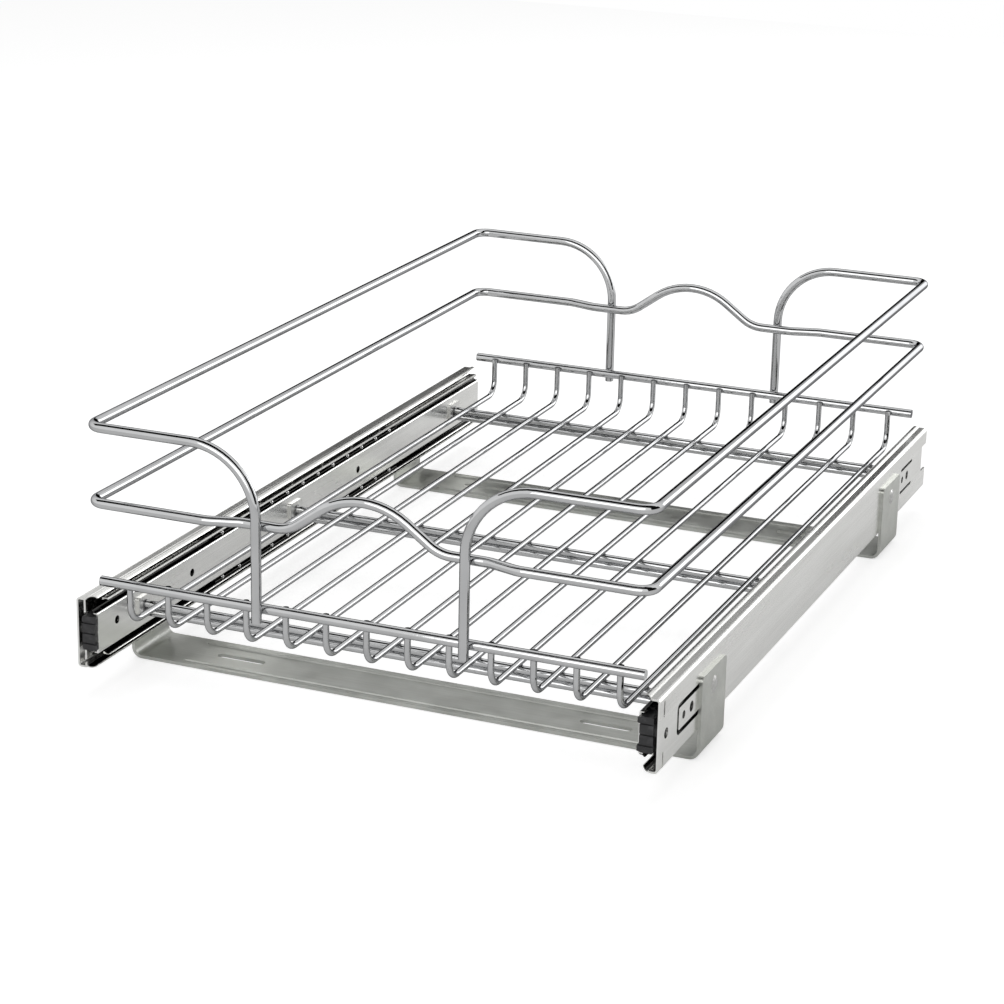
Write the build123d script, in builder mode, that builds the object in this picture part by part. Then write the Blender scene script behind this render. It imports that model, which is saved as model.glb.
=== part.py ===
from build123d import *
import os
from math import cos, radians, sin, tan

# Pull-out wire basket for a kitchen base cabinet, shown closed.
# A chromed wire basket hangs between the drawer members of two full-extension ball-bearing
# slides. Two galvanised cross bars lie on the cabinet floor and carry the slides' outer members.
# X runs across the cabinet with +X to the right, Y from the front to the back, Z up.
# The origin is on the cabinet floor, below the middle of the basket.

os.makedirs("parts", exist_ok=True)

# ---------------------------------------------------------------------------------------------
# Driving dimensions, in millimetres
# ---------------------------------------------------------------------------------------------

# Whole object
overall_width = 365.0        # over the tabs of the cross bars
slide_length = 559.0         # nominal 22 inch slides, their front flush with the basket's
rear_overhang = 9.0          # top rails past the slides' rear ends
slide_height = 45.0
slide_thickness = 12.7
slide_lift = 16.7            # underside of the slides above the cabinet floor

# Wire
heavy_wire = 6.0             # rims, top rails and ring
floor_wire = 3.8
support_wire = 5.0
weld_sink = 0.2              # how deep two crossing wires melt into each other

# Tray
wire_pitch = 25.4
floor_wire_count = 13
rim_length = 337.0
rim_height = 70.0            # centre line of the rims
tray_drop = 25.4             # from the rims' centre line to the floor wires'
floor_wire_bend = 11.0
tip_rise = 1.2               # how far the floor wires' ends stand above the rims' centre line
support_inset = 55.4         # front and rear cross supports, from the front and rear planes
middle_support = 30.4        # middle cross support, in front of the basket's middle

# Top rails
rail_height = 165.1
rail_spread = 342.6          # from centre line to centre line
post_spread = 128.0
post_foot = 6.8              # how far the posts end below the rims' centre line
arch_radius = 41.0
rail_corner = 9.0

# Middle ring
ring_height = 119.6
ring_corner = 9.0
jog_start = 95.0             # where the ring leaves the posts' plane, from the middle
jog_end = 76.0
jog_bend = 18.0
wave_rise = 23.0
wave_slope = 36.0            # degrees
crest_bend = 45.0
trough_bend = 24.0

# Slides
sheet = 1.2
ball_radius = 1.6
ball_gap = 0.3               # between a ball and its races
outer_ball_depth = 8.1       # outer ball rows, from the slide's cabinet side
step_slope = 8.6             # degrees, of the intermediate member's step between the ball rows
step_run = 2.0
lip_length = 0.3             # straight edge past a ball race
flange_drop = 0.8            # outer member's flanges below the top of its ball races
intermediate_depth = 4.2     # middle of the intermediate member's web, from the cabinet side
intermediate_front = 15.0    # the member's ends, from the slide's
intermediate_rear = 3.0
drawer_front = 2.5
retainer_sheet = 0.4
retainer_length = 270.0
retainer_reach = 1.5         # retainers' arms past the ball centres, so the pockets are open
outer_retainer_depth = 2.4
inner_retainer_depth = 5.7
pocket_gap = 0.2
outer_row = 6                # balls in a row
inner_row = 12
bumper_length = 12.0
bumper_plug = 6.0            # behind the bumper's block
bumper_height = 21.0
bumper_depth = 3.4           # from the slide's cabinet side
bumper_groove = 1.0

# Cross bars
bar_sheet = 2.0
bar_width = 42.0
front_bar_inset = 86.0       # middle of each bar, from the slides' ends
rear_bar_inset = 98.0
bar_bend = 5.5
tab_height = 50.0
tab_corner = 3.0
bead_length = 300.0
bead_width = 4.0
bead_height = 0.8
bead_spread = 30.0
floor_slot_length = 32.0
floor_slot_width = 5.5
floor_slot_spread = 237.0

# Brackets and rivets
bracket_sheet = 1.5
bracket_length = 16.0        # along the slide
bracket_height = 11.0
bracket_drop = 0.6           # lower edge below the lower support's centre line
bracket_corner = 1.5
rivet_shank = 5.0            # diameter
rivet_clearance = 0.05       # radial, in the holes

# ---------------------------------------------------------------------------------------------
# Places that follow from them
# ---------------------------------------------------------------------------------------------

basket_depth = slide_length + rear_overhang              # over the top rails' outer planes
front = -basket_depth / 2
support_places = (support_inset, basket_depth / 2 - middle_support, basket_depth - support_inset)
bar_places = (front_bar_inset, slide_length - rear_bar_inset)
post_y = front + heavy_wire / 2                          # posts and the ring's outer runs
rim_y = post_y + heavy_wire - weld_sink                  # rims, inside the posts
tip_y = rim_y + (heavy_wire + floor_wire) / 2 - weld_sink
floor_z = rim_height - tray_drop
upper_support_z = floor_z - (floor_wire + support_wire) / 2 + weld_sink
lower_support_z = upper_support_z - support_wire + weld_sink
slide_face = overall_width / 2 - bar_sheet               # cabinet side of the slides
slide_inside = slide_face - slide_thickness
slide_z = slide_lift + slide_height / 2
bracket_face = slide_inside - bracket_sheet              # the brackets' side towards the basket
bracket_z = lower_support_z - bracket_drop + bracket_height / 2
support_ys = [front + place for place in support_places]
bar_ys = [front + place for place in bar_places]


def write(piece, node):
    """Labels a finished piece with its node name and writes its file."""
    piece.part.label = node
    export_step(piece.part, f"parts/{node}.step")


def write_pair(piece, name):
    """Writes a piece of the right-hand side, and its mirror image for the left-hand side."""
    write(piece, f"right_{name}")
    with BuildPart() as left_piece:
        add(piece.part)
        mirror(about=Plane.YZ, mode=Mode.REPLACE)
    write(left_piece, f"left_{name}")


def across(y):
    """Plane across the basket at a place along it, x to the right and y up, facing the front."""
    return Plane(origin=(0, y, 0), x_dir=(1, 0, 0), z_dir=(0, -1, 0))


# ---------------------------------------------------------------------------------------------
# Basket: floor wires, rims, cross supports, top rails and ring
# ---------------------------------------------------------------------------------------------

# Each floor wire hangs between the rims: a short riser at each end, welded to the rim's inner
# side, and a long run between them.
for number in range(floor_wire_count):
    wire_x = (number - (floor_wire_count - 1) / 2) * wire_pitch
    tip_z = rim_height + tip_rise
    with BuildPart() as floor_run:
        with BuildLine() as route:
            FilletPolyline(
                (wire_x, tip_y, tip_z),
                (wire_x, tip_y, floor_z),
                (wire_x, -tip_y, floor_z),
                (wire_x, -tip_y, tip_z),
                radius=floor_wire_bend,
            )
        with BuildSketch(Plane(origin=route.line @ 0, z_dir=route.line % 0)):
            Circle(floor_wire / 2)
        sweep()
    write(floor_run, f"floor_wire_{number + 1:02d}")

# The rims are straight wires that carry the risers and stop short of the cabinet's sides.
for name, y in (("front_rim", rim_y), ("rear_rim", -rim_y)):
    with BuildPart() as rim:
        with BuildSketch(Plane.YZ):
            with Locations((y, rim_height)):
                Circle(heavy_wire / 2)
        extrude(amount=rim_length / 2, both=True)
    write(rim, name)

# Each cross support is two wires, one on the other, butt-welded to the brackets at both ends.
for place, y in zip(("front", "middle", "rear"), support_ys):
    for level, z in (("upper", upper_support_z), ("lower", lower_support_z)):
        with BuildPart() as support:
            with BuildSketch(Plane.YZ):
                with Locations((y, z)):
                    Circle(support_wire / 2)
            extrude(amount=bracket_face + weld_sink, both=True)
        write(support, f"{place}_{level}_support")

# A top rail is one wire: up from the front rim as a post, over in a wide arch, out to the side,
# back along the basket, and down to the rear rim the same way.
post_x = post_spread / 2
rail_x = rail_spread / 2
foot_z = rim_height - post_foot
with BuildPart() as top_rail:
    with BuildLine() as route:
        FilletPolyline(
            (post_x, post_y, foot_z),
            (post_x, post_y, rail_height),
            (rail_x, post_y, rail_height),
            (rail_x, -post_y, rail_height),
            (post_x, -post_y, rail_height),
            (post_x, -post_y, foot_z),
            radius=[arch_radius, rail_corner, rail_corner, arch_radius],
        )
    with BuildSketch(Plane(origin=route.line @ 0, z_dir=route.line % 0)):
        Circle(heavy_wire / 2)
    sweep()
write_pair(top_rail, "top_rail")

# The ring runs in the posts' plane, jogs inwards to pass behind each post, and rises in a wave
# between the posts. It is bent as two halves that are butt-welded at the sides.
crest_lift = wave_rise + crest_bend * (1 / cos(radians(wave_slope)) - 1)
wave_foot = crest_lift / tan(radians(wave_slope))
right_half = [
    (wave_foot, rim_y, ring_height),
    (jog_end, rim_y, ring_height),
    (jog_start, post_y, ring_height),
    (rail_x, post_y, ring_height),
    (rail_x, 0, ring_height),
]
left_half = [(-x, y, z) for x, y, z in reversed(right_half)]
with BuildPart() as middle_ring:
    with BuildLine() as route:
        FilletPolyline(
            *left_half,
            (0, rim_y, ring_height + crest_lift),
            *right_half,
            radius=[
                ring_corner, jog_bend, jog_bend, trough_bend, crest_bend,
                trough_bend, jog_bend, jog_bend, ring_corner,
            ],
        )
    with BuildSketch(Plane(origin=route.line @ 0, z_dir=route.line % 0)):
        Circle(heavy_wire / 2)
    sweep()
    mirror(about=Plane.XZ)
write(middle_ring, "middle_ring")

# ---------------------------------------------------------------------------------------------
# Slides
# ---------------------------------------------------------------------------------------------
# The right-hand slide is made and mirrored. Its section is drawn on a plane whose x runs from
# the cabinet side towards the basket and whose y runs up from the slide's mid height. Three
# rolled members nest in one another, with a row of balls above and below between each two.

race_radius = ball_radius + ball_gap + sheet / 2         # a sheet's centre line round a ball
outer_ball = (outer_ball_depth, slide_height / 2 - sheet / 2 - race_radius)
inner_ball = (
    outer_ball[0] + 2 * race_radius * sin(radians(step_slope)) + step_run * cos(radians(step_slope)),
    outer_ball[1] - 2 * race_radius * cos(radians(step_slope)) + step_run * sin(radians(step_slope)),
)
drawer_depth = slide_thickness - sheet / 2               # middle of the drawer member's web
drawer_flange = inner_ball[1] - race_radius


def slide_plane(distance):
    """Plane of the slide's section, at a distance from its front end."""
    return Plane(origin=(slide_face, front + distance, slide_z), x_dir=(-1, 0, 0), z_dir=(0, 1, 0))


def web_plane(depth):
    """Plane along the slide, x to the back from its front end, at a depth from the cabinet side."""
    return Plane(origin=(slide_face - depth, front, slide_z), x_dir=(0, 1, 0), z_dir=(1, 0, 0))


def race_point(ball, angle, run=0.0):
    """Point of a race's centre line at an angle round a ball, or a run past it along the tangent."""
    turn = radians(angle)
    return (
        ball[0] + race_radius * cos(turn) + run * sin(turn),
        ball[1] + race_radius * sin(turn) - run * cos(turn),
    )


def race_corner(ball, start, end):
    """Corner that a bend of the race's radius turns into an arc round a ball between two angles."""
    return race_point(ball, start, race_radius * tan(radians(start - end) / 2))


def rolled_section(upper_half, bends, thickness):
    """Section of a rolled channel, from the centre line of its upper half, free edge first."""
    lower_half = [(x, -y) for x, y in reversed(upper_half)]
    with BuildSketch() as section:
        with BuildLine():
            FilletPolyline(*upper_half, *lower_half, radius=[*bends, *reversed(bends)])
        trace(line_width=thickness)
    return section.sketch


# The outer member's flanges rise from the web into the outer ball races and curl over them.
flange_level = slide_height / 2 - sheet / 2 - flange_drop
race_start = race_point(outer_ball, 120)
crease_depth = race_start[0] - (race_start[1] - flange_level) / tan(radians(30))
lance_front = 29.0           # C-shaped slit round the front fixing holes, open at the back
lance_length = 46.0
lance_height = 18.8
lance_line = 2.8
hole_drop = 1.6              # of the slits and holes below the slide's mid height
flange_front = 4.8           # depth at which the lips' slanted front ends begin
lip_slant = 8.0              # how far the slant runs back
with BuildPart() as outer_member:
    with BuildSketch(slide_plane(0)):
        add(
            rolled_section(
                [
                    race_point(outer_ball, 30, lip_length),
                    race_corner(outer_ball, 120, 30),
                    (crease_depth, flange_level),
                    (sheet / 2, flange_level),
                ],
                [race_radius, 1.0, 1.6],
                sheet,
            )
        )
    extrude(amount=slide_length)
    with BuildSketch(web_plane(0)) as web_cuts:
        with BuildLine():
            FilletPolyline(
                (lance_front + lance_length, lance_height / 2 - lance_line / 2 - hole_drop),
                (lance_front + lance_line / 2, lance_height / 2 - lance_line / 2 - hole_drop),
                (lance_front + lance_line / 2, lance_line / 2 - lance_height / 2 - hole_drop),
                (lance_front + lance_length, lance_line / 2 - lance_height / 2 - hole_drop),
                radius=2.5,
            )
        trace(line_width=lance_line)
        with Locations((40.0, -hole_drop), (slide_length - 63.0, 1.5)):
            Circle(2.4)
        with Locations((11.3, -hole_drop), (53.0, -hole_drop), (slide_length - 50.7, 1.5)):
            Circle(3.1)
        with Locations((7.0, 14.0), (7.0, -16.0)):
            SlotOverall(9.5, 2.0, rotation=90)
        with Locations((slide_length - 52.5, 9.0), (slide_length - 52.5, -7.2)):
            SlotOverall(29.0, 2.0)
        with Locations((slide_length - 5.5, 2.0)):
            Rectangle(11.0, 18.0)
        with Locations(*[(place, 0) for place in bar_places]):
            Circle(rivet_shank / 2 + rivet_clearance)
    extrude(amount=-sheet, mode=Mode.SUBTRACT)
    with BuildSketch(Plane(origin=(slide_face, front, slide_z), x_dir=(-1, 0, 0), z_dir=(0, 0, -1))):
        Polygon(
            (flange_front, 0), (slide_thickness, 0), (slide_thickness, lip_slant), align=None
        )
    extrude(amount=slide_height, both=True, mode=Mode.SUBTRACT)
write_pair(outer_member, "outer_member")

# The intermediate member's flanges step up between the ball rows: a groove under the outer
# balls, then a hump over the inner ones.
with BuildPart() as intermediate_member:
    with BuildSketch(slide_plane(intermediate_front)):
        add(
            rolled_section(
                [
                    race_point(inner_ball, 60, lip_length),
                    race_corner(inner_ball, 90 + step_slope, 60),
                    race_corner(outer_ball, step_slope - 90, -90),
                    (intermediate_depth, outer_ball[1] - race_radius),
                ],
                [race_radius, race_radius, 1.6],
                sheet,
            )
        )
    extrude(amount=slide_length - intermediate_front - intermediate_rear)
write_pair(intermediate_member, "intermediate_member")

# The drawer member's flanges run under the inner balls and curl up behind them.
with BuildPart() as drawer_member:
    with BuildSketch(slide_plane(drawer_front)):
        add(
            rolled_section(
                [
                    race_point(inner_ball, -150, lip_length),
                    race_corner(inner_ball, -90, -150),
                    (drawer_depth, drawer_flange),
                ],
                [race_radius, 0.8],
                sheet,
            )
        )
    extrude(amount=slide_length - drawer_front)
    with BuildSketch(web_plane(slide_thickness)):
        with Locations((24.0, 1.5), (114.5, 1.5), (350.0, 1.0)):
            Circle(2.5)
    extrude(amount=sheet, mode=Mode.SUBTRACT)
write_pair(drawer_member, "drawer_member")

# A ball retainer is a thin channel between two members, with a row of pockets in each arm that
# keeps the balls apart.
retainer_start = (slide_length - retainer_length) / 2
for name, ball, depth, row in (
    ("outer", outer_ball, outer_retainer_depth, outer_row),
    ("inner", inner_ball, inner_retainer_depth, inner_row),
):
    ball_pitch = retainer_length / row
    ball_places = [retainer_start + (number + 0.5) * ball_pitch for number in range(row)]
    with BuildPart() as retainer:
        with BuildSketch(slide_plane(retainer_start)):
            arm = [(ball[0] + retainer_reach, ball[1]), (depth, ball[1])]
            add(rolled_section(arm, [0.8], retainer_sheet))
        extrude(amount=retainer_length)
        with BuildSketch(Plane.XY.offset(slide_z)):
            with Locations(*[(slide_face - ball[0], front + place) for place in ball_places]):
                Circle(ball_radius + pocket_gap)
        extrude(amount=slide_height / 2, both=True, mode=Mode.SUBTRACT)
    write_pair(retainer, f"{name}_ball_retainer")

    with BuildPart() as balls:
        for place in ball_places:
            for side in (-1, 1):
                with Locations((slide_face - ball[0], front + place, slide_z + side * ball[1])):
                    Sphere(ball_radius)
    write_pair(balls, f"{name}_balls")

# The bumper is a plastic block inside the front end of the drawer member's channel. It stands out
# a little, with two lugs in front of the member's web, grooves across its face, and a plug behind.
channel_depth = slide_thickness - sheet                  # inner face of the drawer member's web
bumper_width = channel_depth - bumper_depth
with BuildPart() as bumper:
    with BuildSketch(slide_plane(0)):
        with Locations((channel_depth - bumper_width / 2, 0)):
            RectangleRounded(bumper_width, bumper_height, 1.0)
    extrude(amount=bumper_length)
    with BuildSketch(slide_plane(0)):
        with Locations((channel_depth - 1.0 + sheet / 2, 8.0), (channel_depth - 1.0 + sheet / 2, -8.0)):
            RectangleRounded(2.0 + sheet, 4.0, 0.5)
    extrude(amount=drawer_front - 0.2)
    with BuildSketch(slide_plane(bumper_length)):
        with Locations((channel_depth - 2.0, 0)):
            RectangleRounded(4.0, 2 * drawer_flange - sheet, 1.2)
    extrude(amount=bumper_plug)
    with BuildSketch(slide_plane(0)):
        with Locations((slide_thickness / 2, 0)):
            with GridLocations(0, bumper_height * 0.3, 1, 3):
                Rectangle(slide_thickness, bumper_groove)
    extrude(amount=bumper_groove, mode=Mode.SUBTRACT)
write_pair(bumper, "bumper")

# ---------------------------------------------------------------------------------------------
# Cross bars, brackets and rivets
# ---------------------------------------------------------------------------------------------

# Each cross bar is one strap, flat on the cabinet floor, with its ends bent up as tabs for the
# outer members. Two pressed beads stiffen it, and two slots take the screws into the floor.
tab_x = overall_width / 2 - bar_sheet / 2
for name, y in zip(("front", "rear"), bar_ys):
    with BuildPart() as cross_bar:
        with BuildSketch(across(y + bar_width / 2)):
            with BuildLine():
                FilletPolyline(
                    (-tab_x, tab_height),
                    (-tab_x, bar_sheet / 2),
                    (tab_x, bar_sheet / 2),
                    (tab_x, tab_height),
                    radius=bar_bend,
                )
            trace(line_width=bar_sheet)
        extrude(amount=bar_width)
        fillet(cross_bar.edges().filter_by(Axis.X).group_by(Axis.Z)[-1], radius=tab_corner)
        with BuildSketch(Plane.XY.offset(bar_sheet)):
            with Locations((0, y - bead_spread / 2), (0, y + bead_spread / 2)):
                SlotOverall(bead_length, bead_width)
        extrude(amount=bead_height, taper=35)
        with BuildSketch(Plane.XY):
            with Locations((0, y - bead_spread / 2), (0, y + bead_spread / 2)):
                SlotOverall(bead_length, bead_width - 1.0)
        extrude(amount=bead_height, mode=Mode.SUBTRACT)
        with BuildSketch(Plane.XY):
            with Locations((-floor_slot_spread / 2, y), (floor_slot_spread / 2, y)):
                SlotOverall(floor_slot_length, floor_slot_width)
        extrude(amount=bar_sheet, mode=Mode.SUBTRACT)
        with BuildSketch(Plane.YZ):
            with Locations((y, slide_z)):
                Circle(rivet_shank / 2 + rivet_clearance)
        extrude(amount=overall_width / 2, both=True, mode=Mode.SUBTRACT)
    write(cross_bar, f"{name}_cross_bar")

# The six brackets are small upright plates, spot-welded to the drawer members' webs. The cross
# supports end on them.
for place, y in zip(("front", "middle", "rear"), support_ys):
    with BuildPart() as bracket:
        with BuildSketch(Plane.YZ.offset(bracket_face)):
            with Locations((y, bracket_z)):
                RectangleRounded(bracket_length, bracket_height, bracket_corner)
        extrude(amount=bracket_sheet)
    write_pair(bracket, f"{place}_bracket")

# One rivet holds each tab to its outer member: a dome head outside and a flat tail inside. Its
# half section runs along x from the head's seat.
head_radius = rivet_shank
head_height = 0.28 * rivet_shank
dome_radius = (head_radius**2 + head_height**2) / (2 * head_height)
grip = bar_sheet + sheet
tail_height = 0.12 * rivet_shank
with BuildPart() as bar_rivets:
    for y in bar_ys:
        seat = Plane(origin=(overall_width / 2, y, slide_z), x_dir=(-1, 0, 0), z_dir=(0, 1, 0))
        with BuildSketch(seat):
            with BuildLine():
                RadiusArc((-head_height, 0), (0, head_radius), dome_radius)
                Polyline(
                    (0, head_radius),
                    (0, rivet_shank / 2),
                    (grip, rivet_shank / 2),
                    (grip, 0.8 * rivet_shank),
                    (grip + tail_height, 0.7 * rivet_shank),
                    (grip + tail_height, 0),
                    (-head_height, 0),
                )
            make_face()
        revolve(axis=Axis(seat.origin, seat.x_dir))
write_pair(bar_rivets, "cross_bar_rivets")
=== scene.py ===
import math

import bmesh
import bpy
from mathutils import Matrix, Vector, noise


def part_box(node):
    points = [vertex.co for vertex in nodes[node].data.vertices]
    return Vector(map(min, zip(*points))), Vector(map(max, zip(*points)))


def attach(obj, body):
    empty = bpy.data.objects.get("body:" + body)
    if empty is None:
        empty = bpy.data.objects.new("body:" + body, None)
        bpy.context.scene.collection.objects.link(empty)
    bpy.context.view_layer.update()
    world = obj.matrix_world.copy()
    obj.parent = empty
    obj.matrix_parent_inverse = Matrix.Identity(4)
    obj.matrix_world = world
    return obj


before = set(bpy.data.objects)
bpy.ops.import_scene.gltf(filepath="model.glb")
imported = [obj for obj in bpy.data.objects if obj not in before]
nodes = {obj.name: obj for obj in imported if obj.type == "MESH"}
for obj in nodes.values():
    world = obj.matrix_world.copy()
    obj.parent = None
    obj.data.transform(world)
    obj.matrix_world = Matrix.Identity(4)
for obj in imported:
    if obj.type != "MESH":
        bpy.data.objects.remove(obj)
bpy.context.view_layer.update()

# The camera stands where the photograph was taken from: in front, to the right of the basket
# and above it, with a long lens.
camera_place = Vector((0.62211, -1.57293, 0.62226))
image_right = Vector((0.92064, 0.38989, 0.02005))
image_down = Vector((0.1405, -0.28297, -0.94878))
picture_width = 1004.0
focal_pixels = 2749.0
camera_data = bpy.data.cameras.new("camera")
camera_data.sensor_width = 36.0
camera_data.lens = focal_pixels / picture_width * camera_data.sensor_width
camera_data.clip_start = 0.05
camera = bpy.data.objects.new("camera", camera_data)
forward = image_right.cross(image_down).normalized()
turn = Matrix((image_right, -image_down, -forward)).transposed()
camera.matrix_world = Matrix.Translation(camera_place) @ turn.to_4x4()
bpy.context.scene.collection.objects.link(camera)
bpy.context.scene.camera = camera
bpy.context.scene.view_settings.view_transform = "Standard"


# The studio is a white floor under a white sky. Three soft lamps light the basket at a plain
# level: one overhead, one behind on the right and one in front.
def new_material(name):
    """A material with a Principled shader, and its node tree and shader."""
    made = bpy.data.materials.new(name)
    made.use_nodes = True
    return made, made.node_tree, made.node_tree.nodes["Principled BSDF"]


def maths(tree, operation, first, second=0.0):
    """The result of a maths node on sockets or numbers."""
    made = tree.nodes.new("ShaderNodeMath")
    made.operation = operation
    for socket, value in zip(made.inputs, (first, second)):
        if isinstance(value, float):
            socket.default_value = value
        else:
            tree.links.new(value, socket)
    return made.outputs[0]


def seen_background(tree):
    """A socket that is 1 for the rays that see the background at full white, and else 0."""
    path = tree.nodes.new("ShaderNodeLightPath")
    seen = maths(tree, "MAXIMUM", path.outputs["Is Camera Ray"], path.outputs["Is Glossy Ray"])
    return maths(tree, "MAXIMUM", seen, path.outputs["Is Transmission Ray"])


sky_fill = 0.55
world = bpy.data.worlds.new("studio")
bpy.context.scene.world = world
world.use_nodes = True
sky_tree = world.node_tree
sky = sky_tree.nodes["Background"]
sky.inputs["Color"].default_value = (1.0, 1.0, 1.0, 1.0)
sky_level = maths(sky_tree, "MAXIMUM", seen_background(sky_tree), sky_fill)
sky_tree.links.new(sky_level, sky.inputs["Strength"])

floor_size = 5.0
floor_gap = 0.0002
floor_grey = 0.62
floor_glow = 0.58
floor_paint, tree, shader = new_material("floor_paint")
shader.inputs["Base Color"].default_value = (floor_grey, floor_grey, floor_grey, 1.0)
shader.inputs["Roughness"].default_value = 0.9
shader.inputs["Specular IOR Level"].default_value = 0.0
shader.inputs["Emission Color"].default_value = (1.0, 1.0, 1.0, 1.0)
glow = maths(tree, "MULTIPLY", seen_background(tree), floor_glow)
tree.links.new(glow, shader.inputs["Emission Strength"])
bpy.ops.mesh.primitive_plane_add(size=floor_size, location=(0.0, 0.0, -floor_gap))
floor = bpy.context.object
floor.name = "studio_floor"
floor.data.materials.append(floor_paint)


def softbox(name, place, target, width, height, radiance):
    """A rectangular lamp of a given radiance that faces a target."""
    data = bpy.data.lights.new(name, "AREA")
    data.shape = "RECTANGLE"
    data.size = width
    data.size_y = height
    data.energy = radiance * math.pi * width * height
    lamp = bpy.data.objects.new(name, data)
    lamp.location = place
    lamp.rotation_mode = "QUATERNION"
    lamp.rotation_quaternion = (Vector(target) - Vector(place)).to_track_quat("-Z", "Y")
    lamp.visible_camera = False
    bpy.context.scene.collection.objects.link(lamp)
    return lamp


# The overhead card casts no shadow, so the top lamp is kept out of reflections by itself.
basket_middle = (0.0, 0.0, 0.1)
top_softbox = softbox(
    "top_softbox", (-0.25, 0.35, 1.9), (0.0, 0.0, 0.05), width=1.6, height=1.4, radiance=1.7
)
top_softbox.visible_glossy = False
softbox("back_softbox", (0.95, 2.1, 0.55), basket_middle, width=1.6, height=1.0, radiance=1.9)
softbox("front_softbox", (0.2, -2.7, 1.15), basket_middle, width=2.6, height=1.5, radiance=1.5)


# Black cards stand round the basket, out of the camera's sight, so that its chrome gets dark
# lines. A grey one lies on the floor, because the table in a studio isn't as bright as its sky.
def card(name, place, target, width, height, grey):
    """A card that faces a target, shown in reflections alone."""
    paint, _, card_shader = new_material(name + "_paint")
    card_shader.inputs["Base Color"].default_value = (grey, grey, grey, 1.0)
    card_shader.inputs["Specular IOR Level"].default_value = 0.0
    bpy.ops.mesh.primitive_plane_add(size=1.0, location=place)
    made = bpy.context.object
    made.name = name
    made.scale = (width, height, 1.0)
    made.rotation_mode = "QUATERNION"
    made.rotation_quaternion = (Vector(target) - Vector(place)).to_track_quat("Z", "Y")
    made.data.materials.append(paint)
    made.visible_camera = False
    made.visible_diffuse = False
    made.visible_shadow = False


black = 0.01
table_grey = 0.82
table_gap = 0.0001
card("overhead_card", (0.0, -0.5, 1.6), (0.0, -0.5, 0.0), width=4.5, height=1.25, grey=black)
card("right_card", (1.8, -0.4, 0.9), (0.0, -0.4, 0.9), width=1.6, height=1.4, grey=black)
card("left_back_card", (-0.95, 2.4, 0.62), basket_middle, width=1.45, height=1.3, grey=black)
card("floor_card", (0.0, 0.0, -table_gap), (0.0, 0.0, 1.0), width=4.8, height=4.8, grey=table_grey)


# The two cross bars are galvanised strap, bent up at the ends, with pressed beads and slots.
# The zinc is satin and a little green-grey, mottled, with faint lines along the rolling.
def texture(tree, scales, detail=3.0):
    """Noise over a piece's own coordinates, a scale for each axis, and its value's socket."""
    own = tree.nodes.new("ShaderNodeTexCoord")
    stretch = tree.nodes.new("ShaderNodeMapping")
    stretch.inputs["Scale"].default_value = scales
    grain = tree.nodes.new("ShaderNodeTexNoise")
    grain.inputs["Scale"].default_value = 1.0
    grain.inputs["Detail"].default_value = detail
    tree.links.new(own.outputs["Object"], stretch.inputs["Vector"])
    tree.links.new(stretch.outputs["Vector"], grain.inputs["Vector"])
    return grain.outputs["Fac"]


def ranged(tree, source, low, high, start=0.3, end=0.7):
    """The source's stretch from start to end, spread from low to high."""
    spread = tree.nodes.new("ShaderNodeMapRange")
    spread.inputs["From Min"].default_value = start
    spread.inputs["From Max"].default_value = end
    spread.inputs["To Min"].default_value = low
    spread.inputs["To Max"].default_value = high
    tree.links.new(source, spread.inputs["Value"])
    return spread.outputs["Result"]


def mixed(tree, factor, first, second):
    """A colour between two, which are colours or sockets."""
    blend = tree.nodes.new("ShaderNodeMix")
    blend.data_type = "RGBA"
    tree.links.new(factor, blend.inputs["Factor"])
    for socket, colour in ((blend.inputs["A"], first), (blend.inputs["B"], second)):
        if isinstance(colour, tuple):
            socket.default_value = (*colour, 1.0)
        else:
            tree.links.new(colour, socket)
    return blend.outputs["Result"]


def bumped(tree, shader, height, distance):
    """Gives the shader a bump of that depth, in metres."""
    bump = tree.nodes.new("ShaderNodeBump")
    bump.inputs["Strength"].default_value = 1.0
    bump.inputs["Distance"].default_value = distance
    tree.links.new(height, bump.inputs["Height"])
    tree.links.new(bump.outputs["Normal"], shader.inputs["Normal"])


def dress(names, material):
    """Gives nodes one material."""
    for name in names:
        nodes[name].data.materials.clear()
        nodes[name].data.materials.append(material)


dull_zinc = (0.48, 0.49, 0.46)
pale_zinc = (0.60, 0.61, 0.58)
line_zinc = (0.38, 0.39, 0.36)
strap_line_depth = 0.00001
strap, tree, shader = new_material("galvanised_strap")
mottle = texture(tree, (55.0, 90.0, 90.0), detail=5.0)
lines = texture(tree, (12.0, 900.0, 900.0))
base = mixed(tree, ranged(tree, mottle, 0.0, 1.0), dull_zinc, pale_zinc)
drawn = mixed(tree, ranged(tree, lines, 0.0, 0.3), base, line_zinc)
tree.links.new(drawn, shader.inputs["Base Color"])
shader.inputs["Metallic"].default_value = 1.0
tree.links.new(ranged(tree, mottle, 0.34, 0.46), shader.inputs["Roughness"])
bumped(tree, shader, lines, strap_line_depth)
dress(("front_cross_bar", "rear_cross_bar"), strap)


# A zinc-plated steel rivet holds each tab of the cross bars to its slide. The setting tool left
# its dome bright, with fine marks.
def speckled_metal(name, scales, detail, dark, light, smooth, rough, bump_depth=0.0):
    """A metal whose colour, roughness and bump, if it has one, follow the same noise."""
    made, tree, shader = new_material(name)
    specks = texture(tree, scales, detail)
    tree.links.new(mixed(tree, ranged(tree, specks, 0.0, 1.0), dark, light), shader.inputs["Base Color"])
    shader.inputs["Metallic"].default_value = 1.0
    tree.links.new(ranged(tree, specks, smooth, rough), shader.inputs["Roughness"])
    if bump_depth > 0.0:
        bumped(tree, shader, specks, bump_depth)
    return made


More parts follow.
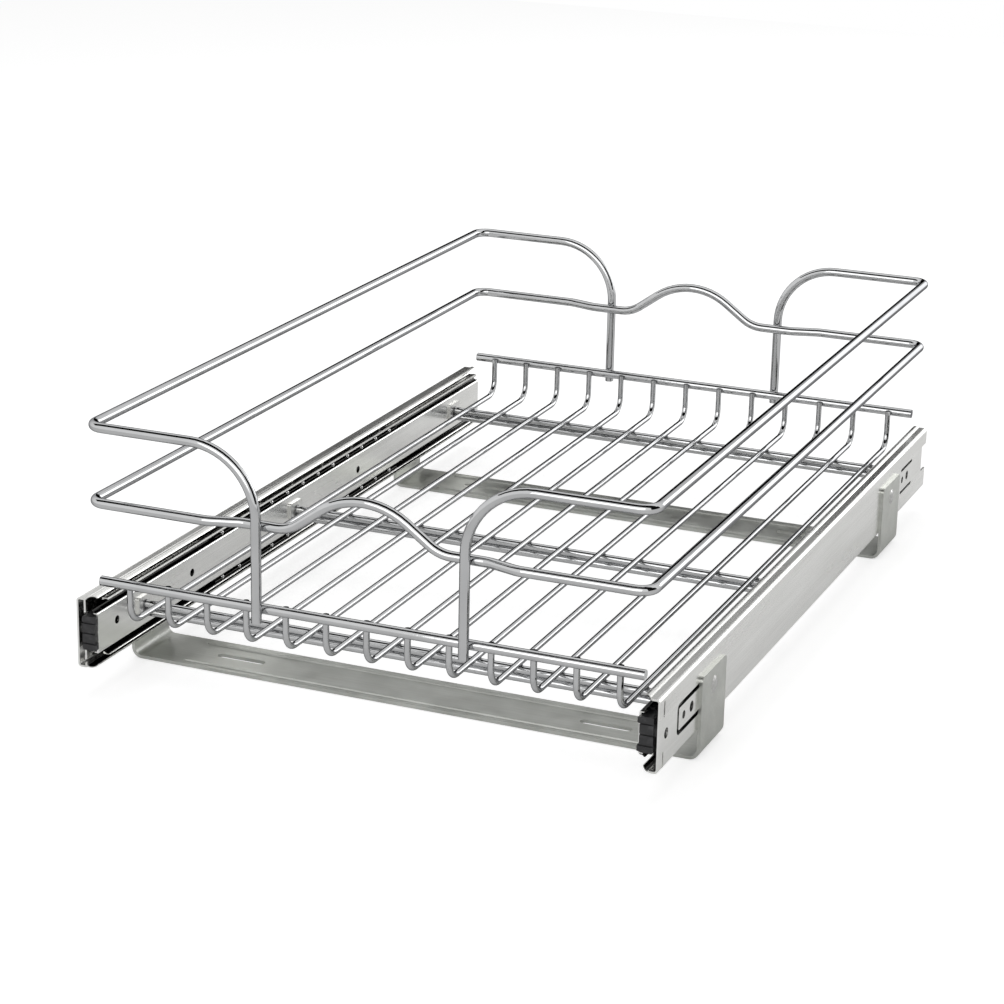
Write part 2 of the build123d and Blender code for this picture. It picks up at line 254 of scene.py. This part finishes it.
rivet_zinc = speckled_metal(
    "rivet_zinc", (700.0, 700.0, 700.0), detail=4.0,
    dark=(0.42, 0.42, 0.41), light=(0.58, 0.58, 0.57), smooth=0.14, rough=0.28,
)
dress(("left_cross_bar_rivets", "right_cross_bar_rivets"), rivet_zinc)

# The slides' members are rolled from bright zinc-plated strip, so faint lines run along them.
# The outer ones are riveted to the tabs, and only the races of their balls are greased. The races
# are painted near black, for the grease and for the shade in the gaps between the members.
slide_low, slide_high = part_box("right_outer_member")
cabinet_side = slide_high[0]
slide_middle = (slide_low[2] + slide_high[2]) / 2
race_reach = 0.0025
outer_ball = (0.0081, 0.0194)
inner_ball = (0.010865, 0.01476)
cloud_grey = (0.5, 0.5, 0.47)
# The near black below is grease together with painted shade of the gaps between the members.
grease_and_shade_black = (0.018, 0.018, 0.017)
slide_line_depth = 0.000006


def slide_material(name, light, dark, ball, grease_and_shade_depth=0.0):
    """Zinc plating, painted near black round a ball at (depth from the cabinet side, height from the
    slide's middle), and also up to a depth from the cabinet side if that is given: grease together
    with painted shade of the gaps between the members."""
    made, tree, shader = new_material(name)
    own = tree.nodes.new("ShaderNodeTexCoord")
    parts = tree.nodes.new("ShaderNodeSeparateXYZ")
    tree.links.new(own.outputs["Object"], parts.inputs["Vector"])
    depth = maths(tree, "SUBTRACT", cabinet_side, maths(tree, "ABSOLUTE", parts.outputs["X"]))
    height = maths(tree, "ABSOLUTE", maths(tree, "SUBTRACT", parts.outputs["Z"], slide_middle))
    across = maths(tree, "SUBTRACT", depth, ball[0])
    along = maths(tree, "SUBTRACT", height, ball[1])
    across_squared = maths(tree, "MULTIPLY", across, across)
    along_squared = maths(tree, "MULTIPLY", along, along)
    distance_squared = maths(tree, "ADD", across_squared, along_squared)
    # This mask paints the grease and the shade of the gaps between the members near black.
    greased_and_shaded = maths(tree, "LESS_THAN", distance_squared, race_reach**2)
    if grease_and_shade_depth > 0.0:
        greased_and_shaded = maths(tree, "MAXIMUM", greased_and_shaded, maths(tree, "LESS_THAN", depth, grease_and_shade_depth))
    lines = texture(tree, (900.0, 6.0, 900.0))
    cloud = texture(tree, (30.0, 9.0, 60.0), detail=4.0)
    plated = mixed(tree, ranged(tree, lines, 0.0, 1.0), dark, light)
    shaded = mixed(tree, ranged(tree, cloud, 0.0, 0.25), plated, cloud_grey)
    tree.links.new(mixed(tree, greased_and_shaded, shaded, grease_and_shade_black), shader.inputs["Base Color"])
    shader.inputs["Metallic"].default_value = 1.0
    tree.links.new(ranged(tree, cloud, 0.2, 0.3), shader.inputs["Roughness"])
    bumped(tree, shader, lines, slide_line_depth)
    return made


outer_zinc = slide_material(
    "outer_member_zinc", light=(0.90, 0.90, 0.88), dark=(0.82, 0.82, 0.80), ball=outer_ball
)
dress(("left_outer_member", "right_outer_member"), outer_zinc)

# The intermediate members are the same strip and run between the two rows of balls. They are
# painted near black, for grease and for the shade between the members, but for the humps over
# the inner balls, which the travel wipes clean.
intermediate_grease_and_shade = 0.0082
intermediate_zinc = slide_material(
    "intermediate_member_zinc", light=(0.86, 0.86, 0.84), dark=(0.76, 0.76, 0.74),
    ball=inner_ball, grease_and_shade_depth=intermediate_grease_and_shade,
)
dress(("left_intermediate_member", "right_intermediate_member"), intermediate_zinc)

# The drawer members are the same strip again and carry the basket. Their webs are clean, and
# their flanges are painted near black behind the inner balls, for grease and for the shade there.
drawer_grease_and_shade = 0.0099
drawer_zinc = slide_material(
    "drawer_member_zinc", light=(0.90, 0.90, 0.88), dark=(0.82, 0.82, 0.80),
    ball=inner_ball, grease_and_shade_depth=drawer_grease_and_shade,
)
dress(("left_drawer_member", "right_drawer_member"), drawer_zinc)

# The ball retainers are thin pressed steel with a pocket for each ball. They lie loose between
# the members and are dark with grease.
greased_steel = speckled_metal(
    "greased_retainer", (300.0, 80.0, 300.0), detail=4.0,
    dark=(0.05, 0.05, 0.048), light=(0.16, 0.16, 0.15), smooth=0.22, rough=0.45,
)
dress([name for name in nodes if name.endswith("ball_retainer")], greased_steel)

# The balls are polished bearing steel under a film of grease. They run in the races between
# the members.
ball_steel = speckled_metal(
    "ball_steel", (900.0, 900.0, 900.0), detail=2.0,
    dark=(0.62, 0.62, 0.61), light=(0.78, 0.78, 0.77), smooth=0.06, rough=0.16,
)
dress([name for name in nodes if name.endswith("_balls")], ball_steel)

# The brackets are small zinc-plated plates, spot-welded to the drawer members. The welding left
# a dull grey bloom on them.
bracket_zinc = speckled_metal(
    "bracket_zinc", (160.0, 160.0, 160.0), detail=4.0,
    dark=(0.66, 0.66, 0.64), light=(0.86, 0.86, 0.84), smooth=0.22, rough=0.42, bump_depth=0.00003,
)
dress([name for name in nodes if name.endswith("_bracket")], bracket_zinc)

# The bumpers are moulded in black plastic with a fine grain and a few scuffs. They sit at the
# front ends of the drawer members.
plastic_black = (0.016, 0.016, 0.017)
scuff_black = (0.05, 0.05, 0.052)
grain_depth = 0.00002
bumper_plastic, tree, shader = new_material("bumper_plastic")
grain = texture(tree, (2600.0, 2600.0, 2600.0), detail=2.0)
scuffs = texture(tree, (240.0, 240.0, 240.0), detail=5.0)
scuffed = ranged(tree, scuffs, 0.0, 1.0, start=0.5, end=0.75)
tree.links.new(mixed(tree, scuffed, plastic_black, scuff_black), shader.inputs["Base Color"])
tree.links.new(ranged(tree, scuffs, 0.3, 0.5), shader.inputs["Roughness"])
bumped(tree, shader, grain, grain_depth)
dress(("left_bumper", "right_bumper"), bumper_plastic)

# The wires are drawn mild steel, welded together and then chromed all over. The plating is
# bright, with a little haze and orange peel.
peel_depth = 0.000012
chrome = speckled_metal(
    "chrome_plating", (45.0, 45.0, 45.0), detail=4.0,
    dark=(0.54, 0.545, 0.55), light=(0.60, 0.605, 0.61), smooth=0.03, rough=0.07,
)
tree = chrome.node_tree
shader = tree.nodes["Principled BSDF"]
shader.inputs["Specular Tint"].default_value = (0.25, 0.25, 0.26, 1.0)
peel = texture(tree, (420.0, 420.0, 420.0), detail=2.0)
bumped(tree, shader, peel, peel_depth)
floor_wires = sorted(name for name in nodes if name.startswith("floor_wire"))
dress(floor_wires, chrome)
dress(("front_rim", "rear_rim", "left_top_rail", "right_top_rail", "middle_ring"), chrome)
dress([name for name in nodes if name.endswith("_support")], chrome)

# Every crossing of the wires is a resistance weld, which leaves a small nugget of squeezed metal
# in the corners between them. The nuggets are plated over with the rest, and duller. Their dark
# grey is painted shade of those corners.
shaded_weld_skin = speckled_metal(
    "shaded_weld_skin", (500.0, 500.0, 500.0), detail=4.0,
    dark=(0.07, 0.07, 0.075), light=(0.30, 0.305, 0.31), smooth=0.12, rough=0.32, bump_depth=0.00004,
)
lump_rise = 0.22
lumps_per_radius = 2.0
place_stretch = 310.0


def weld_nuggets(name, places, reach):
    """Small uneven nuggets of half sizes reach at places, as one piece on the basket."""
    mesh = bpy.data.meshes.new(name)
    form = bmesh.new()
    for place in places:
        made = bmesh.ops.create_icosphere(form, subdivisions=2, radius=1.0)
        for vertex in made["verts"]:
            lump = noise.noise(vertex.co * lumps_per_radius + Vector(place) * place_stretch)
            swell = 1.0 + lump_rise * lump
            vertex.co = Vector(place) + Vector(c * r * swell for c, r in zip(vertex.co, reach))
    for face in form.faces:
        face.smooth = True
    form.to_mesh(mesh)
    form.free()
    piece = bpy.data.objects.new(name, mesh)
    piece.data.materials.append(shaded_weld_skin)
    bpy.context.scene.collection.objects.link(piece)
    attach(piece, "basket")


def middle(name):
    """The middle of a node's box."""
    low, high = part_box(name)
    return (Vector(low) + Vector(high)) / 2


crossings = []
for support in ("front_upper_support", "middle_upper_support", "rear_upper_support"):
    support_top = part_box(support)[1][2]
    crossings += [(middle(wire).x, middle(support).y, support_top) for wire in floor_wires]
weld_nuggets("floor_crossing_welds", crossings, reach=(0.0021, 0.0023, 0.0008))

# The upturned ends of the floor wires are welded to the inner faces of the rims in the same
# way, just below the rims' middle.
rim_face = 0.0029
riser_weld_drop = 0.0012
riser_welds = []
for rim, inward in (("front_rim", 1.0), ("rear_rim", -1.0)):
    face_y = middle(rim).y + inward * rim_face
    weld_height = middle(rim).z - riser_weld_drop
    riser_welds += [(middle(wire).x, face_y, weld_height) for wire in floor_wires]
weld_nuggets("riser_welds", riser_welds, reach=(0.0018, 0.0008, 0.0022))

# The posts of the top rails are welded to the outer faces of the rims, and higher up to the
# middle ring where it jogs in behind them.
post_x = 0.064
post_weld_drop = 0.001
ring_radius = 0.003
ring_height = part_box("middle_ring")[0][2] + ring_radius
post_welds = []
ring_welds = []
for rim, outward in (("front_rim", -1.0), ("rear_rim", 1.0)):
    face_y = middle(rim).y + outward * rim_face
    for x in (-post_x, post_x):
        post_welds.append((x, face_y, middle(rim).z - post_weld_drop))
        ring_welds.append((x, face_y, ring_height))
weld_nuggets("post_welds", post_welds, reach=(0.0025, 0.0009, 0.0028))
weld_nuggets("ring_welds", ring_welds, reach=(0.0026, 0.0009, 0.0024))

# The two wires of each cross support are tacked together, and their ends are welded to the
# brackets with a small collar.
tack_pitch = 0.076
collar_x = 0.1659
tacks = []
collars = []
for place in ("front", "middle", "rear"):
    lower = f"{place}_lower_support"
    upper = f"{place}_upper_support"
    joint_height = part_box(lower)[1][2]
    tacks += [(step * tack_pitch, middle(lower).y, joint_height) for step in range(-2, 3)]
    for support in (lower, upper):
        collars += [(side * collar_x, middle(support).y, middle(support).z) for side in (-1.0, 1.0)]
weld_nuggets("support_tacks", tacks, reach=(0.0035, 0.0021, 0.0008))
weld_nuggets("bracket_welds", collars, reach=(0.0009, 0.0031, 0.003))
